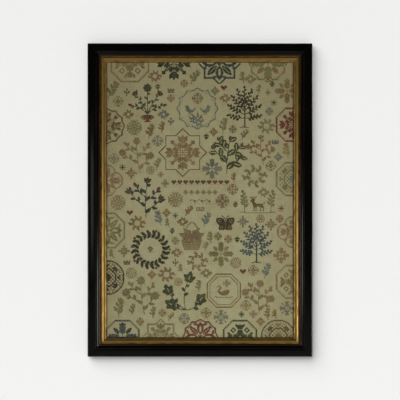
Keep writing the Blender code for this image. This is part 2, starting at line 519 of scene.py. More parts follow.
def board():
    """The backing board, its face and back divided so that it can bow by a hair."""
    low, high = board_low, board_high
    across, up = BOARD_CELLS
    xs = np.linspace(low.x, high.x, across + 1)
    zs = np.linspace(low.z, high.z, up + 1)
    x, z = np.meshgrid(xs, zs)
    bow = BOARD_BOW * np.sin((x - low.x) / (high.x - low.x) * math.pi)
    bow = bow * np.sin((z - low.z) / (high.z - low.z) * math.pi)
    front = np.stack([x, np.full_like(x, low.y - REACH_TO_LINEN), z], axis=-1).reshape(-1, 3)
    back = np.stack([x, high.y - bow, z], axis=-1).reshape(-1, 3)
    faces = closed_sheet_faces(across + 1, up + 1)
    made = mesh_object("mount_board", np.concatenate([front, back]), faces, [aged_card()])
    bevel = made.modifiers.new("eased edges", "BEVEL")
    bevel.width = EASED_EDGE
    bevel.segments = 2
    bevel.angle_limit = CLEAR_EDGE
    return made


def closed_sheet_faces(columns, rows):
    """Faces of a thin slab: a front grid, a back grid of as many points, and the four edges."""
    count = columns * rows
    spots = np.arange(count).reshape(rows, columns)
    low_left, low_right = spots[:-1, :-1], spots[:-1, 1:]
    high_left, high_right = spots[1:, :-1], spots[1:, 1:]
    front = np.stack([low_left, low_right, high_right, high_left], axis=-1).reshape(-1, 4)
    faces = front.tolist() + (front[:, ::-1] + count).tolist()
    rim = np.concatenate([spots[0], spots[1:, -1], spots[-1, -2::-1], spots[-2:0:-1, 0]]).tolist()
    for here, after in zip(rim, rim[1:] + rim[:1]):
        faces.append((after, here, here + count, after + count))
    return faces


mount_board = board()
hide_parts("backing_board")
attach(mount_board, root_body)
print("board:", len(mount_board.data.polygons), "faces")

# %% [markdown]
# ## Counting the cloth
#
# Cross stitch is counted, so the linen sets the grid: each cross covers two threads each way,
# here about 1.55 mm. Everything drawn on the cloth is first drawn on a chart, a table of cells
# with one number for each thread colour. The chart runs a few cells under the slip on every
# side, because a framer covers the edge of the work.

# %% The counted grid
HIDDEN_CELLS = 3
COLUMNS_IN_SIGHT = 254
pitch = sight_size[0] / COLUMNS_IN_SIGHT
rows_in_sight = math.ceil(sight_size[1] / pitch)
COLUMNS = COLUMNS_IN_SIGHT + 2 * HIDDEN_CELLS
ROWS = rows_in_sight + 2 * HIDDEN_CELLS
chart_left = middle_x - COLUMNS * pitch / 2
chart_bottom = middle_z - ROWS * pitch / 2
print("stitches across and up:", COLUMNS, ROWS, "of", round(pitch / MM, 3), "mm")

# %% [markdown]
# ## The linen
#
# Stretched linen is nearly flat, but it draws in a little round dense stitching and lies in slow
# waves. Here only the slow waves are made, and they die away where the slip holds the cloth. A
# function gives the height of the cloth at any place, and the sheet and the stitches both use it,
# so that no stitch floats or sinks. The sheet is a fine grid with a front and a back, and its back
# lies on the board. The weave itself is far finer than any sensible mesh: the material draws it,
# as two sets of round threads that pass over and under each other.

# %% The cloth's height and its sheet
LINEN_THICK = 1.1 * MM
CLOTH_CELL = 3.6 * MM
WAVE_HEIGHT = 0.16 * MM
HELD_BY_SLIP = 18 * MM
ROOM_FOR_STITCHES = 0.3 * MM
linen_face = linen_low.y + ROOM_FOR_STITCHES


def cloth_height(x, z):
    """How far the cloth stands out from its flat face, in metres. It dies away at the slip."""
    waves = np.sin(x * 31 + 1.3) * np.sin(z * 23 + 0.4) + 0.6 * np.sin(x * 67 - z * 41 + 2.0)
    waves = waves + 0.5 * np.sin(z * 97 + x * 29) + 0.3 * np.sin(x * 149 + 0.7) * np.sin(z * 133)
    from_side = np.minimum(x - sight_left, sight_right - x)
    from_edge = np.minimum(from_side, np.minimum(z - sight_bottom, sight_top - z))
    free = np.clip(from_edge / HELD_BY_SLIP, 0, 1)
    return WAVE_HEIGHT * waves * free * free * (3 - 2 * free)


def linen_sheet():
    """The cloth as one closed sheet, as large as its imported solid."""
    across = round((linen_high.x - linen_low.x) / CLOTH_CELL)
    up = round((linen_high.z - linen_low.z) / CLOTH_CELL)
    xs = np.linspace(linen_low.x, linen_high.x, across + 1)
    zs = np.linspace(linen_low.z, linen_high.z, up + 1)
    x, z = np.meshgrid(xs, zs)
    face = linen_face - cloth_height(x, z)
    front = np.stack([x, face, z], axis=-1).reshape(-1, 3)
    back = np.stack([x, face + LINEN_THICK, z], axis=-1).reshape(-1, 3)
    faces = closed_sheet_faces(across + 1, up + 1)
    made = mesh_object("linen_ground", np.concatenate([front, back]), faces, [])
    made.data.shade_smooth()
    made.data.set_sharp_from_angle(angle=CLEAR_EDGE)
    return made


linen = linen_sheet()
print("linen:", len(linen.data.polygons), "faces,", round(LINEN_THICK / MM, 2), "mm thick")

# %% [markdown]
# ## The linen's finish
#
# Plain weave: a warp thread goes over one weft thread and under the next. With x and z counted in
# threads, the sine of each gives round threads, and a chequer of the two counts says which lies
# on top. The gaps between the threads and their sides are painted dark as painted shade. Hand
# spun flax has slubs, so long thin noise runs along both directions. Age turns the cloth from
# grey to an olive straw with a few soft stains. Painted shade makes it browner towards its
# sides and its top.

# %% Linen material
LINEN_LIGHT = (179, 174, 132)
LINEN_DARK = (160, 154, 110)
LINEN_PALE = (188, 184, 152)
LINEN_BROWN = (134, 120, 84)


def sampler_linen():
    """Plain weave with slubs, toned by age, with painted shade in the gaps and towards the sides and top.
    """
    finish = Finish("aged_linen", roughness=0.92, specular=0.12)
    place = finish.place()
    x, z = finish.part(place, "X"), finish.part(place, "Z")
    thread = pitch / 2
    turns = []
    for axis, start in ((x, chart_left), (z, chart_bottom)):
        count = finish.math("DIVIDE", finish.math("SUBTRACT", axis, start), thread)
        turns.append(finish.math("SINE", finish.math("MULTIPLY", count, math.pi)))
    warp = finish.math("ABSOLUTE", turns[0])
    weft = finish.math("ABSOLUTE", turns[1])
    over = finish.math("SIGN", finish.math("MULTIPLY", turns[0], turns[1]))
    lift = finish.math("MULTIPLY", over, 0.22)
    weave = finish.math("MAXIMUM", finish.math("ADD", warp, lift), finish.math("SUBTRACT", weft, lift))
    slub_up = finish.noise(finish.stretched(place, (900, 1, 26)), detail=2)
    slub_across = finish.noise(finish.stretched(place, (26, 1, 900)), detail=2)
    slubs = finish.math("ADD", slub_up, slub_across)
    clouds = finish.noise(place, scale=9, detail=4, rough=0.6)
    fine_clouds = finish.noise(place, scale=70, detail=4, rough=0.6)

    straw = finish.mix(finish.span(clouds, 0.3, 0.7), from_screen(*LINEN_DARK), from_screen(*LINEN_LIGHT))
    straw = finish.mix(finish.span(fine_clouds, 0.35, 0.7, 0, 0.35), straw, from_screen(*LINEN_BROWN))
    straw = finish.mix(finish.span(slubs, 0.8, 1.25, 0, 0.4), straw, from_screen(*LINEN_PALE))
    # Painted shade: the cloth is painted browner towards its left and right sides and towards its top.
    # Only the clouds added here are random age tone.
    from_middle = finish.math("ABSOLUTE", finish.math("SUBTRACT", x, middle_x))
    edge = finish.math("POWER", finish.math("DIVIDE", from_middle, sight_size[0] / 2), 3)
    rise = finish.math("DIVIDE", finish.math("SUBTRACT", z, middle_z), sight_size[1] / 2)
    painted_shade_at_top = finish.span(rise, 0.1, 1, 0, 0.8)
    age_tone_and_painted_shade = finish.math("ADD", edge, finish.math("ADD", painted_shade_at_top, finish.span(clouds, 0.3, 0.7, -0.3, 0.3)))
    straw = finish.mix(finish.span(age_tone_and_painted_shade, 0.1, 1.6, 0, 0.55), straw, from_screen(*LINEN_BROWN))
    # Painted shade: the gaps between the threads and the threads' sides are painted dark.
    gaps = finish.span(weave, 0.35, 0.85, 0.5, 0)
    finish.set("Base Color", finish.mix(gaps, straw, from_screen(52, 44, 28)))
    uneven = finish.math("ADD", weave, finish.math("MULTIPLY", slubs, 0.5))
    finish.bump(uneven, 0.16 * MM, strength=0.7)
    return finish.material


linen.data.materials.append(sampler_linen())
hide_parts("linen")
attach(linen, root_body)
print("linen finish:", linen.active_material.name)

# %% [markdown]
# ## The threads
#
# The silks are named by their dyes and by how far they have faded. Reds from madder and greens
# from weld and indigo hold; the yellows and pinks have gone nearly to the colour of the cloth, so
# half of the work is only just there. The chart stores a thread as a number, and 0 is bare linen.

# %% Thread colours
THREADS = {
    "madder": (104, 20, 24),
    "dusky_red": (84, 32, 24),
    "faded_rose": (126, 94, 66),
    "walnut": (34, 20, 11),
    "umber": (80, 56, 30),
    "straw_gold": (120, 94, 44),
    "faded_tan": (130, 110, 68),
    "faded_olive": (112, 106, 64),
    "black_green": (10, 14, 7),
    "moss": (30, 44, 18),
    "teal": (12, 30, 34),
    "slate_blue": (44, 60, 70),
    "pale_blue": (96, 106, 98),
}
NUMBER = {name: number for number, name in enumerate(THREADS, start=1)}
BARE = None
NUMBER[BARE] = 0
chart = np.zeros((ROWS, COLUMNS), dtype=np.uint8)
print("threads:", len(THREADS), "for a chart of", chart.shape)

# %% [markdown]
# ## Pencils for a chart
#
# A drawing on counted cloth is made of cells, so a few small pencils are enough for everything
# that grows: a stem along a bent line, a pointed leaf, a disc, a ring, a ring of beads and a net.
# Each marks the cells whose middles fall inside its shape. Rings come in the shapes that old
# samplers use, and each is a rule on how far a cell lies from the middle, not a list of points.

# %% Stem, leaf, disc, ring, beads and net
def nearby(cloth, x, y, reach):
    """The part of the chart round x, y, with each cell's distance across and up from there."""
    left, low = max(0, math.floor(x - reach)), max(0, math.floor(y - reach))
    window = cloth[low:max(low, math.ceil(y + reach) + 1), left:max(left, math.ceil(x + reach) + 1)]
    rows, columns = np.indices(window.shape)
    return window, columns + left - x, rows + low - y


def on_bend(start, bend, end, share):
    """The point at that share of a line from start to end that is pulled towards bend."""
    first, second, third = (1 - share) ** 2, 2 * share * (1 - share), share ** 2
    return tuple(first * a + second * b + third * c for a, b, c in zip(start, bend, end))


def stem(cloth, start, bend, end, thread, wide=False):
    """A line of stitches from start to end that is pulled towards bend."""
    steps = 2 * round(math.dist(start, bend) + math.dist(bend, end)) + 2
    for share in np.linspace(0, 1, steps):
        x, y = (round(value) for value in on_bend(start, bend, end, share))
        if 0 <= y < cloth.shape[0] - 1 and 0 <= x < cloth.shape[1] - 1:
            cloth[y, x] = NUMBER[thread]
            if wide:
                cloth[y, x + 1] = NUMBER[thread]


def leaf(cloth, x, y, heading, length, width, thread, vein=False):
    """A pointed leaf that grows from x, y along heading, in degrees from the right."""
    window, across, up = nearby(cloth, x, y, length + 1)
    turn = math.radians(heading)
    along = (across * math.cos(turn) + up * math.sin(turn)) / length
    aside = np.abs(up * math.cos(turn) - across * math.sin(turn))
    swell = np.sin(np.pi * np.clip(along, 0, 1)) ** 0.75
    inside = (along >= 0) & (along <= 1) & (aside <= width / 2 * swell + 0.2)
    window[inside] = NUMBER[thread]
    if vein:
        window[(aside < 0.55) & (along > 0.15) & (along < 0.8)] = NUMBER[BARE]


def within(across, up, size, shape):
    """Which cells lie inside a shape of that size round the middle."""
    across, up = np.abs(across), np.abs(up)
    slant = (across + up) * math.sqrt(0.5)
    if shape == "octagon":
        return np.maximum(np.maximum(across, up), slant) < size
    if shape == "star":
        return np.minimum(np.maximum(across, up), slant) < size * 0.76
    if shape == "diamond":
        return slant < size * 0.8
    if shape == "quatrefoil":
        lobes = np.minimum(np.hypot(across - size * 0.46, up), np.hypot(across, up - size * 0.46))
        return (lobes < size * 0.54) | (np.maximum(across, up) < size * 0.5)
    around = np.arctan2(up, across)
    ripple = 0.1 * np.abs(np.sin(6 * around)) if shape == "scallop" else 0
    return np.hypot(across, up) < size * (1 - ripple)


def disc(cloth, x, y, size, thread, shape="round"):
    """A filled shape."""
    window, across, up = nearby(cloth, x, y, size * 1.1 + 1)
    window[within(across, up, size, shape)] = NUMBER[thread]


def ring(cloth, x, y, size, thread, shape="round", width=1):
    """The outline of a shape, some cells wide."""
    window, across, up = nearby(cloth, x, y, size * 1.1 + 1)
    band = within(across, up, size, shape) & ~within(across, up, size - width, shape)
    window[band] = NUMBER[thread]


def beads(cloth, x, y, size, thread, shape, count=4):
    """A ring of separate stitches, every few cells."""
    window, across, up = nearby(cloth, x, y, size * 1.1 + 1)
    band = within(across, up, size, shape) & ~within(across, up, size - 1.2, shape)
    step = (np.round(across) + np.round(up)) % count == 0
    window[band & step] = NUMBER[thread]


def net(cloth, x, y, size, thread, shape, mesh=4):
    """A lattice that fills a shape."""
    window, across, up = nearby(cloth, x, y, size * 1.1 + 1)
    across, up = np.round(across), np.round(up)
    lines = ((across + up) % mesh == 0) | ((across - up) % mesh == 0)
    window[within(across, up, size, shape) & lines] = NUMBER[thread]


print("ring shapes: round, octagon, star, diamond, quatrefoil, scallop")

# %% [markdown]
# ## Blooms, sprays and wreaths
#
# A spray is a bent stem with leaves to the left and right in turn and a bloom at its tip. Most of
# the growing motifs are a few sprays from one root, and a wreath is pairs of leaves round a ring.

# %% Blooms, sprays and wreaths
def bloom(cloth, x, y, heading, kind, size, thread, heart):
    """What a stem ends in."""
    if kind == "daisy":
        for petal in range(8):
            leaf(cloth, x, y, heading + 45 * petal, size, size * 0.5, thread)
        disc(cloth, x, y, size * 0.3, heart)
    elif kind == "rose":
        disc(cloth, x, y, size * 0.8, thread, "scallop")
        ring(cloth, x, y, size * 0.55, heart)
        disc(cloth, x, y, size * 0.22, heart)
    elif kind == "tulip":
        for spread in (-32, 32, 0):
            leaf(cloth, x, y, heading + spread, size * 1.25, size * 0.55, thread if spread else heart)
    elif kind == "berry":
        disc(cloth, x, y, size * 0.5, heart)
    elif kind == "palm":
        for spread, share in ((-115, 0.6), (115, 0.6), (-60, 0.9), (60, 0.9), (0, 1.1)):
            leaf(cloth, x, y, heading + spread, size * share, size * 0.62, thread)
        turn, reach = math.radians(heading), size * 0.4
        stem(cloth, (x, y), (x, y), (x + reach * math.cos(turn), y + reach * math.sin(turn)), BARE)
    elif kind == "bud":
        leaf(cloth, x, y, heading, size, size * 0.6, heart)


def bent_path(x, y, heading, length, bow):
    """Start, bend and end of a stem that leans to the left by bow at its middle."""
    turn = math.radians(heading)
    end = (x + length * math.cos(turn), y + length * math.sin(turn))
    bend = ((x + end[0]) / 2 - bow * math.sin(turn), (y + end[1]) / 2 + bow * math.cos(turn))
    return (x, y), bend, end


def spray(cloth, x, y, heading, length, bow, thread, leaves=6, leaf_size=6, plump=0.45, tip=None,
          tip_size=5, heart=None, vein=False, first_leaf=0.25):
    """A bent stem with leaves on both sides and a bloom at its end."""
    path = bent_path(x, y, heading, length, bow)
    stem(cloth, *path, thread)
    for number in range(leaves):
        share = first_leaf + (0.9 - first_leaf) * number / max(1, leaves - 1)
        left, low = on_bend(*path, share)
        lean = 48 if number % 2 else -48
        swing = math.degrees(math.atan2(bow, length)) * 2 * (1 - 2 * share)
        size = leaf_size * (1.1 - 0.35 * share)
        leaf(cloth, left, low, heading + swing + lean, size, size * plump, thread, vein)
    if tip:
        end_heading = heading - math.degrees(math.atan2(bow, length))
        bloom(cloth, *path[2], end_heading, tip, tip_size, thread, heart or thread)


def wreath(cloth, x, y, size, thread, heart, count=16, leaf_size=6, every=4):
    """Leaves in pairs round a ring, with a berry or a bud now and then."""
    ring(cloth, x, y, size, thread)
    for number in range(count):
        around = 360 * number / count
        turn = math.radians(around)
        left, low = x + (size - 0.5) * math.cos(turn), y + (size - 0.5) * math.sin(turn)
        leaf(cloth, left, low, around + 42, leaf_size, leaf_size * 0.5, thread)
        leaf(cloth, left, low, around + 138, leaf_size * 0.8, leaf_size * 0.45, thread)
        if number % every == 0:
            out = leaf_size * 0.75
            disc(cloth, left + out * math.cos(turn), low + out * math.sin(turn), 1.7, heart)


print("a bloom is a daisy, rose, tulip, berry, palm or bud")

# %% [markdown]
# ## Rosettes
#
# The big round motifs are drawn in one eighth and turned: whatever lies between straight up and
# the slant is copied round the middle eight times. Makers count a motif out from its middle in
# the same way, and it keeps the chart short. Set on the edge of the cloth, the same rosette
# shows as a half. The list of edge rosettes gives the place, size, style, threads and rim of each.

# %% Rosettes
def eightfold(size, draw):
    """Draw in one eighth of a square and copy it round the middle."""
    eighth = np.zeros((2 * size + 1, 2 * size + 1), dtype=np.uint8)
    draw(eighth, size)
    whole = eighth.copy()
    for half in (eighth, eighth.T):
        for quarter_turn in range(4):
            whole = np.where(whole == 0, np.rot90(half, quarter_turn), whole)
    return whole


def lay(cloth, motif, x, y):
    """Put a motif on the chart with its middle at x, y; what falls off the cloth is lost."""
    high, wide = motif.shape
    low, left = round(y) - high // 2, round(x) - wide // 2
    rows = slice(max(0, low), min(cloth.shape[0], low + high))
    columns = slice(max(0, left), min(cloth.shape[1], left + wide))
    seen = motif[rows.start - low:rows.stop - low, columns.start - left:columns.stop - left]
    target = cloth[rows, columns]
    target[seen > 0] = seen[seen > 0]


def rosette(size, style, main, second, rim=None, rim_width=2):
    """A round motif: its rim, and arms along the axes and the slants in one of a few styles."""
    inner = size - rim_width - 2 if rim else size

    def draw(cloth, middle):
        def petal(across, up, heading, length, width, thread, vein=False):
            """A leaf, placed and sized as shares of the rosette."""
            x, y = middle + inner * across, middle + inner * up
            leaf(cloth, x, y, heading, inner * length, inner * width, thread, vein)

        def spot(across, up, part, thread, shape):
            disc(cloth, middle + inner * across, middle + inner * up, inner * part, thread, shape)

        def arm(length):
            stem(cloth, (middle, middle), (middle, middle), (middle, middle + inner * length), main)

        if style == "tulips":
            arm(0.55)
            petal(0, 0.25, 48, 0.4, 0.16, main)
            bloom(cloth, middle, middle + inner * 0.5, 90, "tulip", inner * 0.38, main, second)
            leaf(cloth, middle + 2, middle + 2, 45, inner * 0.6, inner * 0.22, second, vein=True)
            spot(0.56, 0.56, 0.12, main, "round")
        elif style == "feathers":
            for share in (0.2, 0.42, 0.64):
                petal(0, share, 52, 0.36, 0.15, main)
            arm(0.95)
            petal(0.25, 0.25, 45, 0.5, 0.26, second)
            spot(0, 0.86, 0.14, second, "diamond")
        elif style == "spades":
            petal(0, 0.16, 90, 0.8, 0.42, main)
            petal(0, 0.3, 90, 0.42, 0.14, BARE)
            petal(0.16, 0.16, 45, 0.72, 0.3, main, vein=True)
            petal(0.1, 0.74, 20, 0.4, 0.14, second)
            spot(0, 0, 0.14, second, "octagon")
        elif style == "net":
            net(cloth, middle, middle, inner * 0.98, main, "round", 5)
            ring(cloth, middle, middle, inner * 0.62, main, "octagon", 2)
            spot(0, 0.8, 0.13, second, "diamond")
            spot(0.56, 0.56, 0.15, main, "octagon")
            spot(0, 0, 0.3, second, "star")
        elif style == "stars":
            for share, part in ((0.28, 0.24), (0.68, 0.2)):
                spot(0, share, part, main, "star")
                disc(cloth, middle, middle + inner * share, 1.2, second)
            spot(0.46, 0.46, 0.19, main, "diamond")
            spot(0.46, 0.46, 0.08, BARE, "diamond")
            petal(0.18, 0.62, 66, 0.3, 0.12, second)
        if rim:
            ring(cloth, middle, middle, size, main, rim, rim_width)
            beads(cloth, middle, middle, size - rim_width - 0.6, second, rim)

    return eightfold(size, draw)


low_edge, high_edge = HIDDEN_CELLS, ROWS - 1 - HIDDEN_CELLS
left_edge, right_edge = HIDDEN_CELLS, COLUMNS - 1 - HIDDEN_CELLS
EDGE_ROSETTES = [
    # Along the top.
    (34, high_edge, 27, "stars", "faded_tan", "faded_rose", "octagon"),
    (94, high_edge + 1, 25, "tulips", "black_green", "moss", None),
    (156, high_edge, 28, "spades", "teal", "slate_blue", "star"),
    (222, high_edge, 27, "feathers", "faded_olive", "straw_gold", "scallop"),
    # Along the bottom.
    (24, low_edge, 24, "feathers", "slate_blue", "teal", "octagon"),
    (76, low_edge, 24, "tulips", "faded_tan", "faded_olive", "star"),
    (130, low_edge, 25, "spades", "madder", "dusky_red", "scallop"),
    (184, low_edge, 24, "stars", "moss", "black_green", "octagon"),
    (236, low_edge, 24, "net", "umber", "straw_gold", "round"),
    # Up the left side.
    (left_edge, 84, 24, "net", "walnut", "black_green", "round"),
    (left_edge, 148, 25, "spades", "faded_olive", "faded_tan", "octagon"),
    (left_edge, 216, 22, "feathers", "faded_rose", "faded_tan", "quatrefoil"),
    (left_edge, 290, 25, "tulips", "umber", "faded_tan", "scallop"),
    # Up the right side.
    (right_edge, 78, 24, "stars", "faded_tan", "faded_olive", "octagon"),
    (right_edge, 146, 22, "tulips", "faded_rose", "faded_tan", "quatrefoil"),
    (right_edge, 218, 24, "net", "faded_olive", "pale_blue", "octagon"),
    (right_edge, 292, 24, "tulips", "madder", "dusky_red", "octagon"),
]
for x, y, size, style, main, second, rim in EDGE_ROSETTES:
    lay(chart, rosette(size, style, main, second, rim), x, y)
print("stitches in the edge rosettes:", int((chart > 0).sum()))

# %% [markdown]
# ## Little pictures, charted one by one
#
# A bird, a stag or a swan has no rule behind it. They are drawn stitch by stitch, as an old
# pattern book prints them: a full mark is the first thread, an o the second and a dot is bare
# cloth. These are stock figures that any such book has, and the ornaments are as plain.

# %% Charted figures
BIRD = """
..........###..
.........#####.
.........#o####
#........#####.
##......#####..
###....######..
.####.########.
..###########..
...#oo#o####...
....######.....
......#.#......
......#.#......
.....##.##.....
"""
STAG = """
#..#.#..#............
##.#.#.##............
.###.###.............
...###...............
..#####..............
.##o###..............
######...............
.#####...............
...####............#.
...#####..........##.
....##############...
....##############...
....##o###o###o###...
....##############...
.....####....######..
.....##.#.....##.##..
.....##.#.....#...#..
.....#..#.....#...#..
.....#..#.....#...#..
....##.##....##..##..
"""
SWAN = """
..##...............
.####..............
##..##.............
....##.............
...###.............
..###..............
..##.........###...
.###......#######..
.####..##########..
.######o#########..
..######oo#######..
...####oooo#####...
....###########....
......#######......
"""
ORNAMENTS = {
    "crown": """
#...#...#
##.###.##
#.#.#.#.#
#########
#.o.o.o.#
#########
""",
    "heart": """
.##...##.
####.####
##oo#oo##
.#ooooo#.
..#ooo#..
...#o#...
....#....
""",
    "star": """
....#....
.#..#..#.
..#.#.#..
...#o#...
####o####
...#o#...
..#.#.#..
.#..#..#.
....#....
""",
    "sprig": """
....#....
...###...
....#....
.#..#..#.
###.#.###
.##.#.##.
..#####..
....#....
....#....
...##....
""",
    "diamond": """
....#....
...#.#...
..#.o.#..
.#.ooo.#.
#.ooooo.#
.#.ooo.#.
..#.o.#..
...#.#...
....#....
""",
    "strawberry": """
....#....
..#.#.#..
...###...
..ooooo..
.oo.oo.o.
.oooooo..
.o.oo.o..
..oooo...
...oo....
""",
    "acorn": """
.....#...
....#....
..#####..
.#######.
.#.#.#.#.
..ooooo..
..ooooo..
...ooo...
....o....
""",
    "rose": """
...##....
..#oo##..
.#oo.oo#.
.#o.o.o#.
..#ooo#..
...###...
.#..#..#.
..##.##..
....#....
""",
}


def picture(cloth, drawing, x, y, thread, second, mirrored=False):
    """Put a figure given as text on the chart with its middle at x, y."""
    lines = drawing.split()
    low, left = round(y) + len(lines) // 2, round(x) - len(lines[0]) // 2
    for down, line in enumerate(lines):
        for across, mark in enumerate(reversed(line) if mirrored else line):
            if mark != ".":
                cloth[low - down, left + across] = NUMBER[thread if mark == "#" else second]


print("ornaments:", ", ".join(ORNAMENTS))

# %% [markdown]
# ## Pot, basket, tree, flower spray and moth
#
# The larger motifs are put together from the same pencils. A pot and a basket are rows of
# stitches that grow wider, a tree is a fan of sprays round a trunk, and a flower spray is a main
# stem with side stems that leave it in turn. A moth is two pairs of leaves with eye spots.

# %% Larger motifs
def pot_plant(cloth, x, y, pot, leafy, flower, height):
    """A two-handled pot with a fan of stems."""
    for step, half_width in enumerate((4, 3, 2, 2, 4, 5, 6, 6, 5, 5)):
        stem(cloth, (x - half_width, y + step), (x, y + step), (x + half_width, y + step), pot)
    for side in (-1, 1):
        stem(cloth, (x + 6 * side, y + 8), (x + 12 * side, y + 6), (x + 4 * side, y + 3), pot)
    for lean, share, kind in ((0, 1, "daisy"), (-30, 0.82, "tulip"), (30, 0.82, "tulip"),
                              (-60, 0.66, "bud"), (60, 0.66, "bud")):
        spray(cloth, x, y + 10, 90 + lean, height * share, -lean * 0.08, leafy, 4, 6, 0.5, kind, 6,
              flower, first_leaf=0.4)


def fruit_basket(cloth, x, y, cane, fruit, leafy):
    """A cane basket with a handle, heaped with round fruit and leaves."""
    for step in range(13):
        half_width = 10 + step // 3
        stem(cloth, (x - half_width, y + step), (x, y + step), (x + half_width, y + step), cane)
    for step in range(2, 11, 3):
        for across in range(-9 + step % 2, 10, 3):
            disc(cloth, x + across, y + step, 1, BARE)
    for heading in (155, 125, 55, 25):
        leaf(cloth, x, y + 14, heading, 19, 6, leafy)
    for across, up, size in ((-8, 16, 4.4), (0, 17, 4.6), (8, 16, 4.4), (-4, 23, 4), (4, 23, 4)):
        disc(cloth, x + across, y + up, size, fruit)
        ring(cloth, x + across, y + up, size, leafy)
    stem(cloth, (x - 13, y + 12), (x, y + 62), (x + 13, y + 12), cane, wide=True)


def little_tree(cloth, x, y, trunk, leafy, height, spread, sprays=9):
    """A trunk with a fan of leafy sprays, the middle ones longest."""
    stem(cloth, (x, y), (x + 1, y + height / 3), (x, y + height * 0.6), trunk, wide=True)
    for side in (-1, 1):
        stem(cloth, (x, y + 2), (x + 3 * side, y), (x + 6 * side, y), trunk)
    for number in range(sprays):
        share = number / (sprays - 1)
        heading = 170 - 160 * share
        root = y + height * (0.28 + 0.3 * math.sin(math.pi * share))
        reach = spread * (0.9 + 0.25 * math.sin(math.pi * share))
        spray(cloth, x, root, heading, reach, 3 * (0.5 - share), leafy, 7, 5.5, 0.5, "bud", 4.5)


def flower_spray(cloth, x, y, heading, thread, heart, length=40, kind="rose", leaf_size=9, size=6.5,
                 vein=False, plump=0.46):
    """A main stem with side stems that leave it in turn, each with its own leaves and bloom."""
    bow = 3
    path = bent_path(x, y, heading, length, bow)
    spray(cloth, x, y, heading, length, bow, thread, 5, leaf_size, plump, kind, size, heart, vein, 0.12)
    for share, lean, part in ((0.2, -52, 0.5), (0.32, 50, 0.58), (0.48, -46, 0.46), (0.6, 44, 0.4)):
        left, low = on_bend(*path, share)
        tip = kind if share < 0.4 else "bud"
        spray(cloth, left, low, heading + lean, length * part, math.copysign(bow, lean), thread, 3,
              leaf_size * 0.9, plump, tip, size, heart, vein, 0.4)


def moth(cloth, x, y, wing, spot):
    """A moth with its wings spread, the upper pair larger."""
    for side in (0, 180):
        for lean, length, width in ((34, 15, 10), (-38, 11, 9)):
            heading = side + (lean if side == 0 else -lean)
            turn = math.radians(heading)
            leaf(cloth, x, y, heading, length, width, wing)
            eye = (x + length * 0.62 * math.cos(turn), y + length * 0.62 * math.sin(turn))
            disc(cloth, *eye, 2.4, spot)
            disc(cloth, *eye, 1.1, wing)
    stem(cloth, (x, y - 7), (x, y), (x, y + 6), spot)
    for side in (-1, 1):
        stem(cloth, (x, y + 6), (x + side, y + 10), (x + 5 * side, y + 12), wing)


print("larger motifs: pot, basket, tree, flower spray, moth")

# %% [markdown]
# ## Laying out the cloth
#
# Samplers of this kind are not symmetrical: each motif goes where there is room, some in strong
# silks and many in pale ones. The layout below is this lesson's own, read in rows from the top.

# %% Work the rows of motifs
# Top row: a pot of flowers, a pair of birds in a round frame, a tree.
pot_plant(chart, 58, 296, "dusky_red", "moss", "madder", 36)
ring(chart, 126, 314, 29, "pale_blue", "scallop", 2)
beads(chart, 126, 314, 25, "faded_olive", "round", 3)
picture(chart, BIRD, 116, 312, "pale_blue", "slate_blue", mirrored=True)
picture(chart, BIRD, 137, 312, "pale_blue", "slate_blue")
flower_spray(chart, 126, 288, 90, "pale_blue", "faded_rose", 17, "bud", 5, 4)
lay(chart, rosette(8, "tulips", "faded_olive", "faded_rose"), 126, 328)
little_tree(chart, 190, 288, "umber", "black_green", 45, 23)

# Second row: a pale spray, a rosette in a star, a leafy branch with berries, pale tulips.
flower_spray(chart, 48, 226, 96, "faded_tan", "faded_rose", 44)
lay(chart, rosette(25, "tulips", "faded_rose", "faded_tan"), 106, 254)
ring(chart, 106, 254, 31, "dusky_red", "star", 2)
flower_spray(chart, 166, 226, 84, "moss", "umber", 48, "berry", 14, 6, True, 0.56)
flower_spray(chart, 216, 238, 96, "faded_rose", "straw_gold", 34, "tulip", 7, 5.5)

# Middle row: tulips on teal stems, and a stag between two small trees.
flower_spray(chart, 56, 166, 88, "teal", "dusky_red", 46, "tulip", 9, 7)
picture(chart, STAG, 208, 184, "umber", "faded_tan")
spray(chart, 190, 174, 95, 24, -2, "faded_olive", 7, 7, 0.5, "bud", 6)
spray(chart, 226, 174, 85, 24, 2, "faded_olive", 7, 7, 0.5, "bud", 6)
stem(chart, (184, 173), (208, 171), (232, 173), "faded_olive")

# Fourth row: a dark wreath round a rose, a basket, a pale rosette, a moth, a blue tree.
wreath(chart, 62, 122, 21, "black_green", "madder", 20, 8, 4)
picture(chart, ORNAMENTS["rose"], 62, 122, "moss", "madder")
fruit_basket(chart, 118, 122, "faded_tan", "faded_rose", "faded_olive")
lay(chart, rosette(17, "feathers", "faded_olive", "faded_tan"), 158, 116)
moth(chart, 164, 156, "walnut", "straw_gold")
little_tree(chart, 206, 104, "teal", "slate_blue", 44, 21)

# Bottom row: a pale spray of daisies, a vine, a swan in an octagon, a pale rose spray.
flower_spray(chart, 54, 34, 96, "faded_olive", "faded_tan", 46, "daisy")
for heading, bow, length in ((84, 8, 42), (132, 6, 34), (34, -8, 24), (160, 4, 20)):
    spray(chart, 110, 40, heading, length, bow, "moss", 4, 7, 0.6, "palm", 10, first_leaf=0.45)
ring(chart, 162, 66, 24, "straw_gold", "octagon", 2)
ring(chart, 162, 66, 20, "faded_tan", "octagon")
picture(chart, SWAN, 162, 66, "straw_gold", "faded_tan")
stem(chart, (150, 58), (162, 55), (174, 58), "pale_blue")
flower_spray(chart, 210, 34, 88, "faded_tan", "faded_rose", 42, "rose")
print("stitches with the motifs:", int((chart > 0).sum()))

# %% [markdown]
# ## Bands and small ornaments
#
# The middle of such a cloth usually says who worked it. Here it carries four short bands of border
# patterns in dusky red and madder, and the small marks between the motifs are ornaments such as
# crowns, hearts and sprigs.

